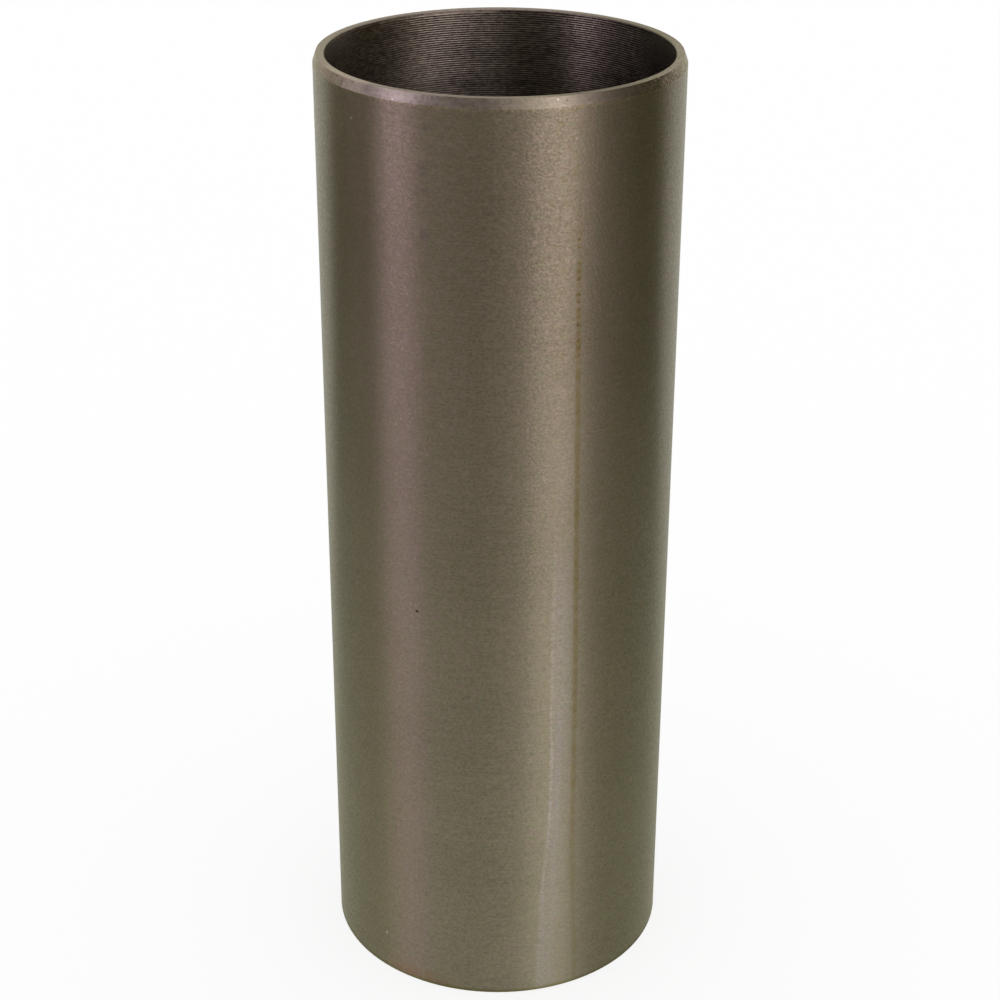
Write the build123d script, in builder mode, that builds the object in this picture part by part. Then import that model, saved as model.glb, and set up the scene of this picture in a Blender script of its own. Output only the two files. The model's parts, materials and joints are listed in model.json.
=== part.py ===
from build123d import *

import os

# Plain dry cylinder liner, a thin-walled tube of centrifugally cast iron.
#
# The liner is pressed into a bored engine block and carries the piston. It has no flange: the
# outside is ground straight for its press fit, and one end has a shallow taper that leads it into
# the block. The inside is bored straight through and left undersize, to be finished once the liner
# is in the block. Both ends are faced square, and the other corners only lose their sharp edges.
#
# Millimetres. +Z is the liner's axis, with the lead end up, and the origin is the middle of the
# lower end.

# The tube
outer_diameter = 80.0
wall_thickness = 2.5
length = 219.0

# The lead taper round the outside of the upper end
lead_length = 2.0  # along the axis
lead_depth = 0.73  # into the wall, which makes a taper of about 20 degrees

# Sharp edges taken off at 45 degrees
bore_edge_break = 0.2  # both mouths of the bore
outer_edge_break = 0.3  # outer corner of the lower end

outer_radius = outer_diameter / 2
bore_radius = outer_radius - wall_thickness

with BuildPart() as cylinder_liner:
    # One side of the wall's section, as a lathe cuts it: up the bore, across the upper end, down
    # the lead and the outside, and back across the lower end.
    with BuildSketch(Plane.XZ):
        with BuildLine():
            Polyline(
                (bore_radius, bore_edge_break),
                (bore_radius, length - bore_edge_break),
                (bore_radius + bore_edge_break, length),
                (outer_radius - lead_depth, length),
                (outer_radius, length - lead_length),
                (outer_radius, outer_edge_break),
                (outer_radius - outer_edge_break, 0),
                (bore_radius + bore_edge_break, 0),
                close=True,
            )
        make_face()
    revolve(axis=Axis.Z)

cylinder_liner.part.label = "cylinder_liner"

os.makedirs("parts", exist_ok=True)
export_step(cylinder_liner.part, "parts/cylinder_liner.step")
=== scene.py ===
import json
import math

import bpy
from mathutils import Matrix, Vector


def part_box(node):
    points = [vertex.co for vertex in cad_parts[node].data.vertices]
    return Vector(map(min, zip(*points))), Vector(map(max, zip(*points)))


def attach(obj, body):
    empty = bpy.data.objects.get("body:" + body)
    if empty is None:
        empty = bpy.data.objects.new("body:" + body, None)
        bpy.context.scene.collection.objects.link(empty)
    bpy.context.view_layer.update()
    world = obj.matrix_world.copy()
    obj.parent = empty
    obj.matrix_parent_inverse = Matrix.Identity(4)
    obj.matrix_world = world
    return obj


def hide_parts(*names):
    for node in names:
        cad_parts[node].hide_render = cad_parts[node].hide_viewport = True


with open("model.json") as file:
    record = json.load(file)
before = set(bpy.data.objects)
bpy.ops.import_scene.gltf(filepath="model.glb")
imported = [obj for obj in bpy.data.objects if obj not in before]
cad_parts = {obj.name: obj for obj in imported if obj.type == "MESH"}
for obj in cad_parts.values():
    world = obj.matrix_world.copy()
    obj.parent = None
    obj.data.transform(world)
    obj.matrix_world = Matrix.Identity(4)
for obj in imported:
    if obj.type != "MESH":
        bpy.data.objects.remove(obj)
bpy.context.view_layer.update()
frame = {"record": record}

# ---------------------------------------------------------------------------------------------
# Camera
# A long lens half a metre off and a hand's breadth above the liner's upper end looks down at it
# from the front, close enough for the tube to narrow towards its foot.
# ---------------------------------------------------------------------------------------------
liner_foot, liner_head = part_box("cylinder_liner")

camera_distance = 0.46581  # from the middle of the upper end
camera_elevation = math.radians(13.952)  # above the upper end
camera_pitch = math.radians(25.835)  # below the horizon
camera_yaw = math.radians(0.040)
camera_roll = math.radians(0.228)
camera_lens = 77.092

camera = bpy.data.objects.new("camera", bpy.data.cameras.new("camera"))
bpy.context.collection.objects.link(camera)
bpy.context.scene.camera = camera
camera.data.sensor_width = 36.0
camera.data.lens = camera_lens
camera.data.clip_start = 0.01
camera.matrix_world = (
    Matrix.Translation(
        (
            0,
            -camera_distance * math.cos(camera_elevation),
            liner_head.z + camera_distance * math.sin(camera_elevation),
        )
    )
    @ Matrix.Rotation(-camera_yaw, 4, "Z")
    @ Matrix.Rotation(math.radians(90) - camera_pitch, 4, "X")
    @ Matrix.Rotation(camera_roll, 4, "Z")
)

# ---------------------------------------------------------------------------------------------
# Liner: the tube
# One piece of centrifugally cast iron. The outside is ground straight, the lead taper and both
# ends are turned, and a single-point tool has bored the inside, which leaves one fine helical
# groove from end to end.
# ---------------------------------------------------------------------------------------------
mounts = {mount["name"]: mount for mount in frame["record"]["mounts"]}
outer_radius = mounts["outer_wall"]["dims"]["r_mm"] / 1000
bore_radius = mounts["bore"]["dims"]["r_mm"] / 1000
length = liner_head.z - liner_foot.z

lead_length = 0.002
lead_depth = 0.00073
bore_edge_break = 0.0002
outer_edge_break = 0.0003

sides = 108  # straight sides of each circle
wall_rows = 24  # rows of faces up the outside

# The boring tool: how far it moves in one turn, and the radius of its nose, which leaves a
# shallow arc with a sharp crest to either side.
feed = 0.00051
nose_radius = 0.0008
crest_slope = math.asin(feed / 2 / nose_radius)
groove_depth = nose_radius * (1 - math.cos(crest_slope))

verts = []
faces = []
face_finish = []
corner_normals = []
corner_uvs = []
GROUND, TURNED, BORED = range(3)

# Which way a face looks, as the lean of its normal up from the direction out from the axis
OUTWARD = 0
UPWARD = math.pi / 2
INWARD = math.pi
DOWNWARD = -math.pi / 2
edge_lean = math.pi / 4  # to either side of these, where an edge is broken

# The unwrapped surface: up the liner along U and round it along V, the outside below the bore
unwrap_length = length + 2 * (outer_radius - bore_radius)
outside_share = 0.60  # of V
bore_start = 0.62


def around(step):
    """The direction out from the axis at one of the circle's corners, counted from the back."""
    angle = 2 * math.pi * step / sides + math.pi / 2
    return math.cos(angle), math.sin(angle)


def point(step, radius, height):
    x, y = around(step)
    verts.append((radius * x, radius * y, height))
    return len(verts) - 1


def ring(radius, height):
    return [point(step, radius, height) for step in range(sides)]


def tilted(step, slope):
    """A normal that leans up by slope from the direction out from the axis."""
    x, y = around(step)
    return x * math.cos(slope), y * math.cos(slope), math.sin(slope)


def unwrapped(vertex, turn_share, finish):
    x, y, height = verts[vertex]
    if finish == BORED:
        return height / length, bore_start + turn_share * (1 - bore_start)
    inward = outer_radius - math.hypot(x, y)
    along = height + (inward if height > length / 2 else -inward) + (unwrap_length - length) / 2
    return along / unwrap_length, turn_share * outside_share


def face(corners, finish):
    """corners is a list of (vertex, step round the circle, lean of the normal)."""
    faces.append([vertex for vertex, _, _ in corners])
    face_finish.append(finish)
    first_step = min(step for _, step, _ in corners) // sides * sides
    for vertex, step, slope in corners:
        corner_normals.append(tilted(step, slope))
        corner_uvs.extend(unwrapped(vertex, (step - first_step) / sides, finish))


def band(first, second, slope, finish):
    """A ring of faces between two circles, seen from the side that slope's normal points to."""
    for step in range(sides):
        after = (step + 1) % sides
        face(
            [
                (first[step], step, slope),
                (first[after], step + 1, slope),
                (second[after], step + 1, slope),
                (second[step], step, slope),
            ],
            finish,
        )


# The outside, from the inner edge of the lower end up to the mouth of the bore
foot_inner = ring(bore_radius + bore_edge_break, 0)
foot_outer = ring(outer_radius - outer_edge_break, 0)
band(foot_inner, foot_outer, DOWNWARD, TURNED)
wall_foot = outer_edge_break
wall_head = length - lead_length
below = ring(outer_radius, wall_foot)
band(foot_outer, below, OUTWARD - edge_lean, TURNED)
for row in range(1, wall_rows + 1):
    above = ring(outer_radius, wall_foot + (wall_head - wall_foot) * row / wall_rows)
    band(below, above, OUTWARD, GROUND)
    below = above
lead_top = ring(outer_radius - lead_depth, length)
band(below, lead_top, math.atan2(lead_depth, lead_length), TURNED)
head_inner = ring(bore_radius + bore_edge_break, length)
band(lead_top, head_inner, UPWARD, TURNED)
mouth_top = ring(bore_radius, length - bore_edge_break)
band(head_inner, mouth_top, UPWARD + edge_lean, TURNED)

# The bore: two helices, one along the crest between passes of the tool and one along the middle
# of its groove, with strips of faces between them.
bore_span = length - 2 * bore_edge_break
turns = int(bore_span / feed)
first_crest = bore_edge_break + (bore_span - turns * feed) / 2
crest = [
    point(i % sides, bore_radius, first_crest + feed * i / sides) for i in range(turns * sides + 1)
]
groove = [
    point(i % sides, bore_radius + groove_depth, first_crest + feed * (i / sides + 0.5))
    for i in range((turns - 1) * sides + 1)
]
for i in range((turns - 1) * sides):
    face(
        [
            (crest[i], i, INWARD - crest_slope),
            (groove[i], i, INWARD),
            (groove[i + 1], i + 1, INWARD),
            (crest[i + 1], i + 1, INWARD - crest_slope),
        ],
        BORED,
    )
    face(
        [
            (groove[i], i, INWARD),
            (crest[i + sides], i, INWARD + crest_slope),
            (crest[i + sides + 1], i + 1, INWARD + crest_slope),
            (groove[i + 1], i + 1, INWARD),
        ],
        BORED,
    )

# The wall that the groove leaves at each end of the bore runs out on a circle.
mouth_foot = ring(bore_radius, bore_edge_break)
band(mouth_foot, foot_inner, INWARD + edge_lean, TURNED)
last = turns * sides
for step in range(sides):
    after = (step + 1) % sides
    low = [(mouth_foot[step], step, INWARD), (crest[step], step, INWARD + crest_slope)]
    low += [(crest[step + 1], step + 1, INWARD + crest_slope)]
    if step == sides - 1:
        low += [(groove[0], step + 1, INWARD), (crest[0], step + 1, INWARD)]
    face(low + [(mouth_foot[after], step + 1, INWARD)], BORED)
    high = [(mouth_top[after], step + 1, INWARD)]
    high += [(crest[last - sides + step + 1], step + 1, INWARD - crest_slope)]
    high += [(crest[last - sides + step], step, INWARD - crest_slope)]
    if step == 0:
        high += [(groove[last - sides], step, INWARD), (crest[last], step, INWARD)]
    face(high + [(mouth_top[step], step, INWARD)], BORED)

liner_mesh = bpy.data.meshes.new("liner")
liner_mesh.from_pydata(verts, [], faces)
liner_mesh.polygons.foreach_set("material_index", face_finish)
liner_mesh.uv_layers.new(name="OFBake").data.foreach_set("uv", corner_uvs)
liner_mesh.shade_smooth()
liner_mesh.normals_split_custom_set(corner_normals)
liner = bpy.data.objects.new("liner", liner_mesh)
bpy.context.collection.objects.link(liner)

# ---------------------------------------------------------------------------------------------
# Liner: the ground outside
# Bare grey iron, brown with age and oil. A wide grinding wheel has left fine short scratches that
# run round it, so the metal spreads a reflection up and down far more than sideways.
# ---------------------------------------------------------------------------------------------
# The foot colour is paler than the head's, partly the iron's own colour and partly painted light: the
# floor's brighter reflection low on the wall.
wall_head_colour = (0.156, 0.127, 0.090, 1)
wall_foot_colour_and_light = (0.184, 0.167, 0.108, 1)
wall_pink = (0.200, 0.148, 0.122, 1)
wall_green = (0.154, 0.148, 0.086, 1)
grazing_tint = (0.98, 1.0, 0.90, 1)  # the film of oil colours a reflection near the edges
wall_roughness = 0.45
sparkle = 0.07  # how far the roughness changes from one grain to the next
grinding_spread = 0.9  # Anisotropic: how much further a reflection spreads up and down
grinding_depth = 0.00004  # metres
scratch_depth = 0.3  # as a share of the grain's


def new_finish(name):
    material = bpy.data.materials.new(name)
    material.use_nodes = True
    return material


def add(material, kind, inputs=None, **settings):
    """A new shader node. An input is a plain value, or the output of another node."""
    made = material.node_tree.nodes.new("ShaderNode" + kind)
    for name, value in settings.items():
        setattr(made, name, value)
    for name, value in (inputs or {}).items():
        if isinstance(value, bpy.types.NodeSocket):
            material.node_tree.links.new(value, made.inputs[name])
        else:
            made.inputs[name].default_value = value
    return made


def calc(material, operation, *values):
    """One step of arithmetic."""
    return add(material, "Math", dict(enumerate(values)), operation=operation).outputs[0]


def times(material, *shares):
    """Several shares multiplied together."""
    product = shares[0]
    for share in shares[1:]:
        product = calc(material, "MULTIPLY", product, share)
    return product


def spread(material, value, low, high, at_low=0.0, at_high=1.0):
    """A smooth change from at_low to at_high as value goes from low to high."""
    inputs = {"Value": value, "From Min": low, "From Max": high, "To Min": at_low, "To Max": at_high}
    return add(material, "MapRange", inputs, interpolation_type="SMOOTHSTEP").outputs["Result"]


def fade(material, value, low, high, at_low=1.0):
    """A smooth change from at_low to nothing."""
    return spread(material, value, low, high, at_low, 0.0)


def between(material, value, span, most=1.0):
    """A share that rises to most and falls again. Span says where it starts, where it is full,
    where it starts to fade and where it is gone.
    """
    start, full, fading, gone = span
    rise = spread(material, value, start, full)
    return times(material, rise, fade(material, value, fading, gone, most))


def noise(material, across, upward, detail=2.0, offset=0.0):
    """Noise with features this many metres across, along X and Y, and upward. Offset picks it."""
    where = add(material, "TexCoord").outputs["Object"]
    density = (1 / across, 1 / across, 1 / upward)
    shift = (offset, offset, offset)
    scaled = add(material, "Mapping", {"Vector": where, "Scale": density, "Location": shift})
    inputs = {"Vector": scaled.outputs[0], "Scale": 1.0, "Detail": detail}
    return add(material, "TexNoise", inputs).outputs["Fac"]


noise_range = (0.2, 0.8)  # where nearly all of a noise lies


def follow(material, pattern, at_low, at_high):
    """A value that goes from at_low to at_high with a noise."""
    return spread(material, pattern, *noise_range, at_low, at_high)


def blend_colour(material, share, first, second, mode="MIX"):
    mixed = add(material, "Mix", data_type="RGBA", blend_type=mode)
    for socket, value in ((0, share), (6, first), (7, second)):
        if isinstance(value, bpy.types.NodeSocket):
            material.node_tree.links.new(value, mixed.inputs[socket])
        else:
            mixed.inputs[socket].default_value = value
    return mixed.outputs[2]


def tinted(material, share, colour, tint):
    """The colour times a tint, by share."""
    return blend_colour(material, share, colour, tint, "MULTIPLY")


def brighten(material, colour, amount):
    """The colour times a brightness."""
    grey = add(material, "CombineColor", {"Red": amount, "Green": amount, "Blue": amount}).outputs[0]
    return tinted(material, 1.0, colour, grey)


def place(material):
    """Where a point of the liner is: degrees round from the front, and millimetres up."""
    where = add(material, "TexCoord").outputs["Object"]
    axes = add(material, "SeparateXYZ", {0: where})
    forward = calc(material, "MULTIPLY", axes.outputs["Y"], -1.0)
    radians = calc(material, "ARCTAN2", axes.outputs["X"], forward)
    return (
        calc(material, "DEGREES", radians),
        calc(material, "MULTIPLY", axes.outputs["Z"], 1000.0),
    )


def from_line(material, turn, centre):
    """Millimetres round the wall from an upright line, whose centre is in degrees."""
    degrees = calc(material, "SUBTRACT", turn, centre)
    return calc(material, "MULTIPLY", degrees, math.radians(1) * outer_radius * 1000)


mark_edge = (0.4, 1.2)  # as shares of a mark's radius, where it starts to fade and where it ends


def mark(material, colour, turn, height, spot, mark_colour, strength=1.0):
    """A small round mark at spot, which is (degrees, height in mm, radius in mm)."""
    degrees, middle, radius = spot
    across = from_line(material, turn, degrees)
    upward = calc(material, "SUBTRACT", height, middle)
    square = calc(material, "MULTIPLY", across, across)
    away = calc(material, "SQRT", calc(material, "MULTIPLY_ADD", upward, upward, square))
    fading, gone = mark_edge
    share = fade(material, away, radius * fading, radius * gone, strength)
    return blend_colour(material, share, colour, mark_colour)


def brushed_metal(material, colour, roughness, grazing, upward_spread, relief=None, depth=0.0):
    """Joins the parts of a finish to the shader, with its scratches running round the liner."""
    shader = material.node_tree.nodes["Principled BSDF"]
    shader.inputs["Metallic"].default_value = 1.0
    shader.inputs["Anisotropic"].default_value = upward_spread
    shader.inputs["Specular Tint"].default_value = grazing
    along = add(material, "Tangent", direction_type="UV_MAP", uv_map="OFBake").outputs[0]
    links = material.node_tree.links
    links.new(along, shader.inputs["Tangent"])
    links.new(colour, shader.inputs["Base Color"])
    links.new(roughness, shader.inputs["Roughness"])
    if relief is not None:
        bump = add(material, "Bump", {"Height": relief, "Distance": depth, "Strength": 1.0})
        links.new(bump.outputs[0], shader.inputs["Normal"])


# The bare wall. From here on turns are in degrees from the front, heights and widths are in
# millimetres, and a value of a noise lies between 0 and 1. A pair of them says where a change
# starts and where it is complete. A tone is a brightness, at a noise's low and high end.
ground_iron = new_finish("ground_iron")
turn, height = place(ground_iron)
grain = noise(ground_iron, across=0.00062, upward=0.00042)
scratches = noise(ground_iron, across=0.0070, upward=0.0004, offset=3.0)
mottle = noise(ground_iron, across=0.0016, upward=0.0012, detail=3.0, offset=7.0)
blotches = noise(ground_iron, across=0.030, upward=0.025, detail=3.0, offset=11.0)

foot_to_head = (20.0, 200.0)  # the heights between which the colour and the painted light change
pink_mottle = (0.45, 0.80)
green_mottle = (0.20, 0.50)
most_pink = 0.65
most_green = 0.60
grain_tone = (0.88, 1.12)
scratch_tone = (-0.05, 0.05)
blotch_tone = (-0.04, 0.04)
# Paler towards the foot, partly painted light
up_the_wall = spread(ground_iron, height, *foot_to_head)
wall_colour = blend_colour(ground_iron, up_the_wall, wall_foot_colour_and_light, wall_head_colour)
pinkness = spread(ground_iron, mottle, *pink_mottle, at_high=most_pink)
wall_colour = blend_colour(ground_iron, pinkness, wall_colour, wall_pink)
greenness = fade(ground_iron, mottle, *green_mottle, most_green)
wall_colour = blend_colour(ground_iron, greenness, wall_colour, wall_green)
tone = follow(ground_iron, grain, *grain_tone)
tone = calc(ground_iron, "ADD", tone, follow(ground_iron, scratches, *scratch_tone))
tone = calc(ground_iron, "ADD", tone, follow(ground_iron, blotches, *blotch_tone))
wall_colour = brighten(ground_iron, wall_colour, tone)

# Painted shade: darker and yellower down the sides towards the foot, away from the front
side_shade_tint = (0.90, 0.90, 0.80, 1)
side_shade_turns = (24.0, 42.0)  # to either side
side_shade_heights = (40.0, 170.0)
aside = calc(ground_iron, "ABSOLUTE", turn)
side_shade_share = times(
    ground_iron,
    spread(ground_iron, aside, *side_shade_turns),
    fade(ground_iron, height, *side_shade_heights),
)
wall_colour = tinted(ground_iron, side_shade_share, wall_colour, side_shade_tint)

# Painted highlights: bright glints in the grain where the bright bands fall, left of the front and right
# of it, and a painted mauve tint of the left band's reflection
painted_glint_tint = (1.38, 1.34, 1.38, 1)
painted_mauve_tint = (1.05, 0.975, 1.08, 1)
left_band_turns = (-44.0, -34.0, -28.0, -20.0)
right_band_turns = (8.0, 15.0, 20.0, 26.0)
glint_heights = (20.0, 190.0)
bright_points = (0.56, 0.70)  # of their noise
right_glints = 0.6  # beside the left's
foot_glints = 0.4  # beside the head's
glints = noise(ground_iron, across=0.00060, upward=0.00045, detail=3.0, offset=47.0)
in_left_highlight = between(ground_iron, turn, left_band_turns)
in_right_highlight = between(ground_iron, turn, right_band_turns, right_glints)
painted_glint_share = times(
    ground_iron,
    calc(ground_iron, "ADD", in_left_highlight, in_right_highlight),
    spread(ground_iron, height, *glint_heights, at_low=foot_glints),
    spread(ground_iron, glints, *bright_points),
)
wall_colour = tinted(ground_iron, painted_glint_share, wall_colour, painted_glint_tint)
# Painted reflection: the left band's mauve tint
wall_colour = tinted(ground_iron, in_left_highlight, wall_colour, painted_mauve_tint)

# A paler strip where something has rubbed the wall, from half way down, with a bright left edge
strip_tint = (1.10, 1.11, 1.30, 1)
strip_edge_tint = (1.24, 1.24, 1.36, 1)
strip_heights = (102.0, 126.0)  # over which it fades out upward
strip_lean = (9.0, 60.0)  # the heights between which its edge leans to the right
strip_foot = 13.8  # the turn of that edge at the foot
strip_upper = 17.8  # and above the lean
strip_waver = 0.3  # degrees to either side
strip_across = (-0.4, 0.4, 1.0, 6.5)  # millimetres to the right of its edge
streak_range = (0.30, 0.60)  # of their noise
faintest_streak = 0.45
edge_across = (0.15, 0.65)  # millimetres to either side
edge_heights = (12.0, 50.0)
edge_at_foot = 0.15
edge_grains = (0.30, 0.60)
faintest_edge = 0.5
waver = noise(ground_iron, across=1.0, upward=0.016, offset=13.0)
streaks = noise(ground_iron, across=0.0011, upward=0.030, detail=3.0, offset=37.0)
strip_edge = calc(
    ground_iron,
    "ADD",
    spread(ground_iron, height, *strip_lean, strip_foot, strip_upper),
    follow(ground_iron, waver, -strip_waver, strip_waver),
)
past_edge = from_line(ground_iron, turn, strip_edge)
off_edge = calc(ground_iron, "ABSOLUTE", past_edge)
rubbed = times(
    ground_iron,
    fade(ground_iron, height, *strip_heights),
    spread(ground_iron, streaks, *streak_range, at_low=faintest_streak),
)
strip_share = times(ground_iron, rubbed, between(ground_iron, past_edge, strip_across))
edge_share = times(
    ground_iron,
    rubbed,
    fade(ground_iron, off_edge, *edge_across),
    spread(ground_iron, height, *edge_heights, at_low=edge_at_foot),
    spread(ground_iron, grain, *edge_grains, at_low=faintest_edge),
)
wall_colour = tinted(ground_iron, strip_share, wall_colour, strip_tint)
wall_colour = tinted(ground_iron, edge_share, wall_colour, strip_edge_tint)

# A run of rust-brown oil down the right of the front
run_tint = (0.74, 0.65, 0.36, 1)
run_lean = (0.0, 45.0)  # the heights between which it goes from run_foot to run_upper
run_foot = 27.8  # turns
run_upper = 25.8
run_top_lean = (60.0, 220.0)  # and those between which it goes run_top_shift further
run_top_shift = -2.0
run_waver = 0.15  # degrees to either side
run_across = (0.25, 0.95)  # millimetres to either side
run_thins = (150.0, 200.0)  # and those over which it thins again to run_thinnest
run_thinnest = 0.25
run_ends = (196.0, 206.0)
run_low_heights = (8.0, 105.0)  # over which it grows stronger upward from run_at_foot
run_at_foot = 0.5
run_patches = (0.30, 0.65)
faintest_patch = 0.35
run_grains = (0.30, 0.70)
run_grain_shares = (0.6, 1.1)
patchiness = noise(ground_iron, across=1.0, upward=0.004, detail=4.0, offset=31.0)
run_line = calc(
    ground_iron,
    "ADD",
    spread(ground_iron, height, *run_lean, run_foot, run_upper),
    spread(ground_iron, height, *run_top_lean, at_high=run_top_shift),
)
run_line = calc(ground_iron, "ADD", run_line, follow(ground_iron, waver, run_waver, -run_waver))
off_run = calc(ground_iron, "ABSOLUTE", from_line(ground_iron, turn, run_line))
run_share = times(
    ground_iron,
    fade(ground_iron, off_run, *run_across),
    spread(ground_iron, patchiness, *run_patches, at_low=faintest_patch),
    spread(ground_iron, grain, *run_grains, *run_grain_shares),
    spread(ground_iron, height, *run_thins, 1.0, run_thinnest),
    fade(ground_iron, height, *run_ends),
    spread(ground_iron, height, *run_low_heights, at_low=run_at_foot),
)

# Near the top it breaks into dots, some of them missing
dot_pitch = 1.7
dot_heights = (156.0, 168.0, 187.0, 195.0)
dot_across = (0.2, 0.6)  # millimetres to either side
dot_darkness = 0.7
dot_gaps = 4.0  # how much of the patchiness is added, which leaves some of them out
dot_edge = (1.8, 3.0)  # of the sum of both
rise_and_fall = calc(ground_iron, "SINE", calc(ground_iron, "MULTIPLY", height, 2 * math.pi / dot_pitch))
dots = calc(ground_iron, "MULTIPLY_ADD", patchiness, dot_gaps, rise_and_fall)
dot_share = times(
    ground_iron,
    spread(ground_iron, dots, *dot_edge, at_high=dot_darkness),
    between(ground_iron, height, dot_heights),
    fade(ground_iron, off_run, *dot_across),
)
run_share = calc(ground_iron, "ADD", run_share, dot_share)
wall_colour = tinted(ground_iron, run_share, wall_colour, run_tint)

# Brown freckles in the oil to the left of the run, high on the wall
freckle_tint = (0.90, 0.83, 0.66, 1)
freckle_turns = (10.0, 19.0, 24.0, 31.0)
freckle_heights = (140.0, 175.0)
freckle_edge = (0.44, 0.66)  # of their noise
freckle_darkness = 0.5
freckles = noise(ground_iron, across=0.0011, upward=0.0014, detail=4.0, offset=43.0)
freckle_share = times(
    ground_iron,
    spread(ground_iron, freckles, *freckle_edge, at_high=freckle_darkness),
    between(ground_iron, turn, freckle_turns),
    spread(ground_iron, height, *freckle_heights),
)
wall_colour = tinted(ground_iron, freckle_share, wall_colour, freckle_tint)

# Rust where the liner has stood on its foot, and a darker olive line round the very foot
rust_colour = (0.190, 0.110, 0.055, 1)
rust_turns = (-44.0, -34.0, -24.0, -12.0)
rust_heights = (0.8, 5.5)
rust_share_at_foot = 0.75
rust_mottle = (0.35, 0.60)
faintest_rust = 0.3
foot_line_colour = (0.115, 0.105, 0.040, 1)
foot_line_heights = (0.5, 1.5)
foot_line_share = 0.9
rust_share = times(
    ground_iron,
    fade(ground_iron, height, *rust_heights, rust_share_at_foot),
    between(ground_iron, turn, rust_turns),
    spread(ground_iron, mottle, *rust_mottle, at_low=faintest_rust),
)
wall_colour = blend_colour(ground_iron, rust_share, wall_colour, rust_colour)
foot_share = fade(ground_iron, height, *foot_line_heights, foot_line_share)
wall_colour = blend_colour(ground_iron, foot_share, wall_colour, foot_line_colour)

# The wall's upper edge, worn bright where the taper starts
worn_tint = (1.24, 1.22, 1.12, 1)
worn_heights = (216.2, 216.9)
worn_grains = (0.35, 0.60)
worn_share = times(
    ground_iron,
    spread(ground_iron, height, *worn_heights),
    spread(ground_iron, grain, *worn_grains),
)
wall_colour = tinted(ground_iron, worn_share, wall_colour, worn_tint)

# Small pits, specks of rust and bright nicks
pit_colour = (0.050, 0.030, 0.022, 1)
faint_pit_colour = (0.090, 0.070, 0.050, 1)
speck_colour = (0.230, 0.110, 0.040, 1)
nick_colour = (0.420, 0.390, 0.340, 1)
wall_marks = (
    ((-26.75, 102.3, 0.45), pit_colour),
    ((-7.5, 31.4, 0.22), faint_pit_colour),
    ((54.4, 97.5, 0.40), speck_colour),
    ((-41.9, 10.2, 0.35), nick_colour),
    ((-49.3, 211.3, 0.30), nick_colour),
    ((23.6, 217.0, 0.35), speck_colour),
    ((28.5, 216.9, 0.25), speck_colour),
    ((32.0, 217.0, 0.30), speck_colour),
    ((35.5, 216.8, 0.20), speck_colour),
)
for spot, mark_colour in wall_marks:
    wall_colour = mark(ground_iron, wall_colour, turn, height, spot, mark_colour)

# Faint mauve smudges one above another, left of the front
smudge_colour = (0.105, 0.088, 0.080, 1)
smudge_darkness = 0.35
smudges = (
    (-21.8, 212.7, 1.2),
    (-23.0, 203.5, 1.5),
    (-22.0, 199.5, 1.1),
    (-22.4, 190.0, 1.6),
)
for spot in smudges:
    wall_colour = mark(ground_iron, wall_colour, turn, height, spot, smudge_colour, smudge_darkness)

dull_to_bright = (0.25, 0.75)
wall_dullness = spread(
    ground_iron,
    grain,
    *dull_to_bright,
    wall_roughness + sparkle,
    wall_roughness - sparkle,
)
relief = calc(ground_iron, "MULTIPLY_ADD", scratches, scratch_depth, grain)
brushed_metal(
    ground_iron,
    wall_colour,
    wall_dullness,
    grazing_tint,
    grinding_spread,
    relief,
    grinding_depth,
)

# ---------------------------------------------------------------------------------------------
# Liner: the turned ends
# The lead taper, the flat rims and the broken edges, all cut in the lathe after grinding. The
# metal is fresher there, paler and a little pink, with the lines of the tool running round it.
# ---------------------------------------------------------------------------------------------
turned_colour = (0.195, 0.158, 0.139, 1)
turned_dull_colour = (0.155, 0.122, 0.102, 1)
# The yellow is a painted highlight, the brown partly the metal's colour and partly painted shade.
turned_yellow_highlight = (0.205, 0.172, 0.124, 1)
turned_brown_and_shade = (0.095, 0.076, 0.060, 1)
turned_pink = (0.290, 0.215, 0.205, 1)
# The tint of a painted highlight on the taper's left
turned_highlight_tint = (1.50, 1.47, 1.47, 1)
turned_grazing_tint = (1.0, 0.97, 0.78, 1)
turned_roughness = 0.38
turned_dulling = 0.06  # how much rougher the palest patches are than the dullest
turned_spread = 0.6
turned_depth = 0.00002  # metres

turned_iron = new_finish("turned_iron")
turn, height = place(turned_iron)
tool_lines = noise(turned_iron, across=0.030, upward=0.00035, offset=17.0)
patches = noise(turned_iron, across=0.0012, upward=0.0008, detail=4.0, offset=19.0)
specks = noise(turned_iron, across=0.0006, upward=0.0005, detail=1.0, offset=41.0)
pale_patches = (0.35, 0.60)
patch_share = spread(turned_iron, patches, *pale_patches)
edge_colour = blend_colour(turned_iron, patch_share, turned_dull_colour, turned_colour)

# Paler and yellower from the front round to the right, a painted highlight, and brown from there on,
# partly the metal's colour and partly painted shade. Both are lost before the back, so that no edge of
# colour shows where the turns start again.
yellow_highlight_turns = (-5.0, 12.0)
most_yellow_highlight = 0.9
brown_and_shade_turns = (11.0, 27.0)
most_brown_and_shade = 0.95
less_brown_turns = (34.0, 60.0)
less_brown = 0.85
lost_turns = (100.0, 165.0)
short_of_the_back = fade(turned_iron, turn, *lost_turns)
yellow_highlight_share = times(
    turned_iron,
    spread(turned_iron, turn, *yellow_highlight_turns, at_high=most_yellow_highlight),
    short_of_the_back,
)
edge_colour = blend_colour(turned_iron, yellow_highlight_share, edge_colour, turned_yellow_highlight)
brown_and_shade_share = times(
    turned_iron,
    spread(turned_iron, turn, *brown_and_shade_turns, at_high=most_brown_and_shade),
    spread(turned_iron, turn, *less_brown_turns, 1.0, less_brown),
    short_of_the_back,
)
edge_colour = blend_colour(turned_iron, brown_and_shade_share, edge_colour, turned_brown_and_shade)

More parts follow.
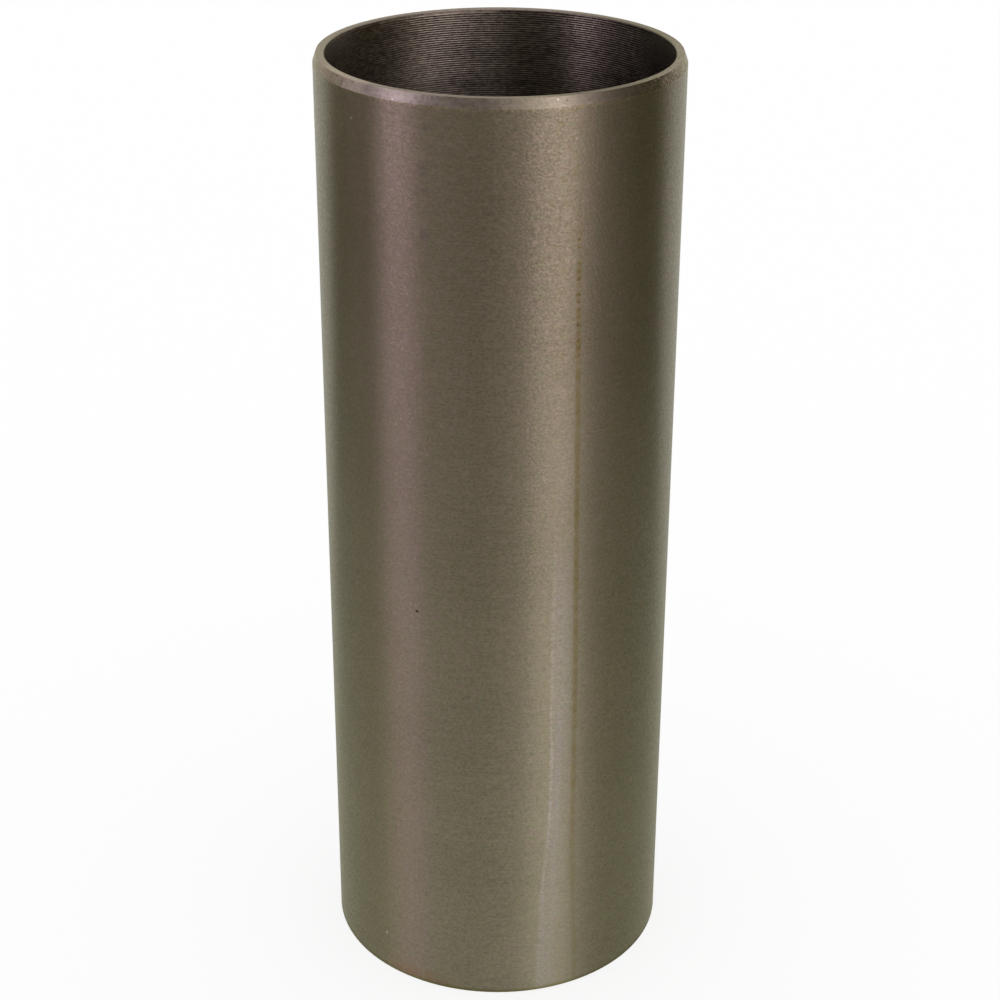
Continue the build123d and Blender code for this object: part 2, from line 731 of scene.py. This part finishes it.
# A painted highlight on the left, and flecks of pink on the right
taper_highlight_turns = (-75.0, -60.0, -46.0, -42.0)
pink_turns = (38.0, 60.0, 90.0, 110.0)
pink_specks = (0.52, 0.64)
pink_strength = 0.8
taper_highlight_share = between(turned_iron, turn, taper_highlight_turns)
edge_colour = tinted(turned_iron, taper_highlight_share, edge_colour, turned_highlight_tint)
pink_share = times(
    turned_iron,
    between(turned_iron, turn, pink_turns),
    spread(turned_iron, specks, *pink_specks, at_high=pink_strength),
)
edge_colour = blend_colour(turned_iron, pink_share, edge_colour, turned_pink)

speck_tone = (0.88, 1.12)
tool_line_tone = (-0.08, 0.08)
tone = follow(turned_iron, specks, *speck_tone)
tone = calc(turned_iron, "ADD", tone, follow(turned_iron, tool_lines, *tool_line_tone))
edge_colour = brighten(turned_iron, edge_colour, tone)

# A dark scratch up the taper at the left
scratch_turn = -54.4
scratch_low = length * 1000 - 1.7
scratch_high = length * 1000 - 0.2
scratch_across = (0.06, 0.16)  # millimetres to either side
scratch_darkness = 0.8
off_scratch = calc(turned_iron, "ABSOLUTE", from_line(turned_iron, turn, scratch_turn))
scratch_share = times(
    turned_iron,
    fade(turned_iron, off_scratch, *scratch_across, scratch_darkness),
    calc(turned_iron, "GREATER_THAN", height, scratch_low),
    calc(turned_iron, "LESS_THAN", height, scratch_high),
)
edge_colour = blend_colour(turned_iron, scratch_share, edge_colour, pit_colour)

# Nicks and pits in the taper
edge_nick_colour = (0.330, 0.290, 0.260, 1)
edge_marks = (
    ((-32.6, 217.3, 0.22), edge_nick_colour),
    ((16.8, 218.5, 0.20), edge_nick_colour),
    ((19.6, 218.2, 0.18), pit_colour),
    ((47.0, 218.1, 0.18), pit_colour),
)
for spot, mark_colour in edge_marks:
    edge_colour = mark(turned_iron, edge_colour, turn, height, spot, mark_colour)

edge_dullness = follow(turned_iron, patches, turned_roughness, turned_roughness + turned_dulling)
brushed_metal(
    turned_iron,
    edge_colour,
    edge_dullness,
    turned_grazing_tint,
    turned_spread,
    specks,
    turned_depth,
)

# ---------------------------------------------------------------------------------------------
# Liner: the bored inside
# Left as the boring tool leaves it, for the final bore and hone once the liner is in its block.
# Brown oxide stays in the groove, and its crests are rubbed a little brighter.
# ---------------------------------------------------------------------------------------------
bore_crest_colour = (0.148, 0.119, 0.097, 1)
bore_groove_colour = (0.086, 0.067, 0.053, 1)
bore_roughness = 0.36
bore_sparkle = 0.04
bore_spread = 0.3

# Turns in the bore are counted as its groove climbs, from the back round by the left.
bored_iron = new_finish("bored_iron")
where = add(bored_iron, "TexCoord").outputs["Object"]
axes = add(bored_iron, "SeparateXYZ", {0: where})
leftward = calc(bored_iron, "MULTIPLY", axes.outputs["X"], -1.0)
bore_turn = calc(bored_iron, "ARCTAN2", leftward, axes.outputs["Y"])
turn_share = calc(bored_iron, "MULTIPLY", bore_turn, 1 / (2 * math.pi))
climb = calc(bored_iron, "SUBTRACT", axes.outputs["Z"], first_crest)
passes = calc(bored_iron, "MULTIPLY_ADD", climb, 1 / feed, calc(bored_iron, "MULTIPLY", turn_share, -1.0))
off_crest = calc(bored_iron, "PINGPONG", passes, 0.5)  # 0 on a crest, 0.5 in the groove

groove_edge = (0.08, 0.38)  # off a crest, as shares of the feed
tears = noise(bored_iron, across=0.0013, upward=0.0005, detail=3.0, offset=29.0)
torn_range = (0.3, 0.7)
torn_tone = (0.7, 1.3)
cloudy = noise(bored_iron, across=0.020, upward=0.0030, detail=2.0, offset=23.0)
cloudy_tone = (0.85, 1.15)
groove_share = spread(bored_iron, off_crest, *groove_edge)
inside_colour = blend_colour(bored_iron, groove_share, bore_crest_colour, bore_groove_colour)
inside_colour = brighten(bored_iron, inside_colour, spread(bored_iron, tears, *torn_range, *torn_tone))
inside_colour = brighten(bored_iron, inside_colour, follow(bored_iron, cloudy, *cloudy_tone))

# Painted shade on the right of the bore, seen from the front, and painted light on the left.
bore_shade_tint = (0.60, 0.59, 0.59, 1)
bore_shade_turns = (-150.0, -100.0, -38.0, -25.0)
bore_light_tint = (1.62, 1.62, 1.58, 1)
bore_light_turns = (19.0, 36.0, 90.0, 130.0)
bore_degrees = calc(bored_iron, "DEGREES", bore_turn)
bore_shade_share = between(bored_iron, bore_degrees, bore_shade_turns)
inside_colour = tinted(bored_iron, bore_shade_share, inside_colour, bore_shade_tint)
bore_light_share = between(bored_iron, bore_degrees, bore_light_turns)
inside_colour = tinted(bored_iron, bore_light_share, inside_colour, bore_light_tint)

inside_dullness = follow(bored_iron, tears, bore_roughness - bore_sparkle, bore_roughness + bore_sparkle)
brushed_metal(bored_iron, inside_colour, inside_dullness, grazing_tint, bore_spread)

for finish in (ground_iron, turned_iron, bored_iron):
    liner_mesh.materials.append(finish)

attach(liner, "root")
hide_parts("cylinder_liner")

# ---------------------------------------------------------------------------------------------
# Studio: floor, dark cloth, lamps and sky
# A white sheet with white all round, eight soft lamps at the front and sides, and a dark cloth
# that lies round the liner and hangs behind them. Only the metal sees the lamps and the cloth,
# which give the iron its bright and dark bands and leave the sheet as it is.
# ---------------------------------------------------------------------------------------------
floor_radius = 2.0
floor_step = 5  # degrees
floor_white = (0.98, 0.98, 0.98, 1)
floor_plain = 0.8  # the share of plain white in what the camera and the metal see of it


def plain_stage(name, verts, faces, colour):
    mesh = bpy.data.meshes.new(name)
    mesh.from_pydata(verts, [], faces)
    mesh.shade_smooth()
    surface = new_finish(name)
    shader = surface.node_tree.nodes["Principled BSDF"]
    shader.inputs["Base Color"].default_value = colour
    shader.inputs["Roughness"].default_value = 1.0
    shader.inputs["Specular IOR Level"].default_value = 0.0
    mesh.materials.append(surface)
    made = bpy.data.objects.new(name, mesh)
    bpy.context.collection.objects.link(made)
    return made


def from_front(degrees, radius, height):
    """A point round the axis from the front, towards the right."""
    turn = math.radians(degrees)
    return Vector((radius * math.sin(turn), -radius * math.cos(turn), height))


floor_rim = [from_front(degrees, floor_radius, 0) for degrees in range(0, 360, floor_step)]
floor = plain_stage("floor", floor_rim, [range(len(floor_rim))], floor_white)

# To the camera and in the metal the floor is nearly plain white, with the liner's shadow on it.
sheet = floor.data.materials[0]
ray = add(sheet, "LightPath").outputs
seen = calc(sheet, "MAXIMUM", ray["Is Camera Ray"], ray["Is Glossy Ray"])
seen = calc(sheet, "MAXIMUM", seen, ray["Is Transmission Ray"])
plain_white = add(sheet, "Emission", {"Color": (1, 1, 1, 1), "Strength": 1.0})
sheet_mix = add(sheet, "MixShader", {0: calc(sheet, "MULTIPLY", seen, floor_plain)})
sheet_nodes = sheet.node_tree.nodes
sheet_links = sheet.node_tree.links
sheet_links.new(sheet_nodes["Principled BSDF"].outputs[0], sheet_mix.inputs[1])
sheet_links.new(plain_white.outputs[0], sheet_mix.inputs[2])
sheet_links.new(sheet_mix.outputs[0], sheet_nodes["Material Output"].inputs["Surface"])

# The cloth: one part lies on the floor, from near the liner outwards, and one hangs upright. Its
# turns are in degrees round from the front, and its sizes in metres.
cloth_grey = (0.199, 0.193, 0.089, 1)
cloth_left = -126
cloth_right = 120
cloth_step = 6
cloth_lift = 0.001  # off the floor
cloth_near = 0.35  # from the axis to where it starts
cloth_side_near = 0.31  # and past side_turn to either side
side_turn = 60
cloth_distance = 0.86  # from the axis to the part that hangs
cloth_low = 0.0
cloth_front_low = 0.32  # between front_left and front_right
front_left = -54
front_right = 20
cloth_high = 1.3
cloth_side_high = 0.38  # past low_side, on the left
low_side = -85
cloth_verts = []
cloth_faces = []
for degrees in range(cloth_left, cloth_right + 1, cloth_step):
    near = cloth_near if abs(degrees) < side_turn else cloth_side_near
    low = cloth_front_low if front_left < degrees < front_right else cloth_low
    high = cloth_side_high if degrees < low_side else cloth_high
    cloth_verts += [
        from_front(degrees, near, cloth_lift),
        from_front(degrees, cloth_distance, cloth_lift),
        from_front(degrees, cloth_distance, low),
        from_front(degrees, cloth_distance, high),
    ]
for i in range(0, len(cloth_verts) - 4, 4):
    cloth_faces += [(i, i + 4, i + 5, i + 1), (i + 2, i + 6, i + 7, i + 3)]
cloth = plain_stage("dark_cloth", cloth_verts, cloth_faces, cloth_grey)
cloth.visible_camera = False
cloth.visible_diffuse = False
cloth.visible_transmission = False
cloth.visible_shadow = False


def softbox(name, turn, width, low, high, radiance, colour):
    """A lamp with a cloth front, turned to face the liner. Radiance 1 is the white of the sky."""
    lamp = bpy.data.lights.new(name, "AREA")
    lamp.shape = "RECTANGLE"
    lamp.size = width
    lamp.size_y = high - low
    lamp.energy = radiance * math.pi * width * (high - low)
    lamp.color = colour
    made = bpy.data.objects.new(name, lamp)
    bpy.context.collection.objects.link(made)
    made.location = from_front(turn, lamp_distance, (low + high) / 2)
    inward = from_front(turn + 180, 1, 0)
    made.rotation_euler = inward.to_track_quat("-Z", "Y").to_euler()
    made.visible_camera = False
    made.visible_diffuse = False


lamp_distance = 0.80  # from the axis
left_tint = (1.05, 1.0, 1.23)
right_tint = (1.02, 1.0, 1.10)
# Name, degrees round from the front, width, lower edge, upper edge, radiance, colour
softboxes = (
    ("left_low_softbox", -65, 0.33, 0.2, 0.72, 4.3, left_tint),
    ("left_high_softbox", -50, 0.33, 1.1, 1.9, 6.0, left_tint),
    ("left_side_softbox", -98, 0.30, 0.33, 0.50, 1.3, left_tint),
    ("right_low_softbox", 32, 0.39, 0.0, 0.4, 4.0, right_tint),
    ("right_middle_softbox", 45, 0.42, 0.4, 0.8, 4.7, right_tint),
    ("right_high_softbox", 60, 0.60, 1.0, 1.7, 5.0, right_tint),
    ("right_side_softbox", 77, 0.22, 0.5, 0.8, 1.6, right_tint),
    ("front_softbox", 10, 0.30, 0.3, 0.62, 1.8, right_tint),
)
for settings in softboxes:
    softbox(*settings)

sky = bpy.data.worlds.new("sky")
bpy.context.scene.world = sky
sky.use_nodes = True
sky.node_tree.nodes["Background"].inputs["Color"].default_value = (1, 1, 1, 1)
sky.node_tree.nodes["Background"].inputs["Strength"].default_value = 1.0
bpy.context.scene.view_settings.view_transform = "Standard"
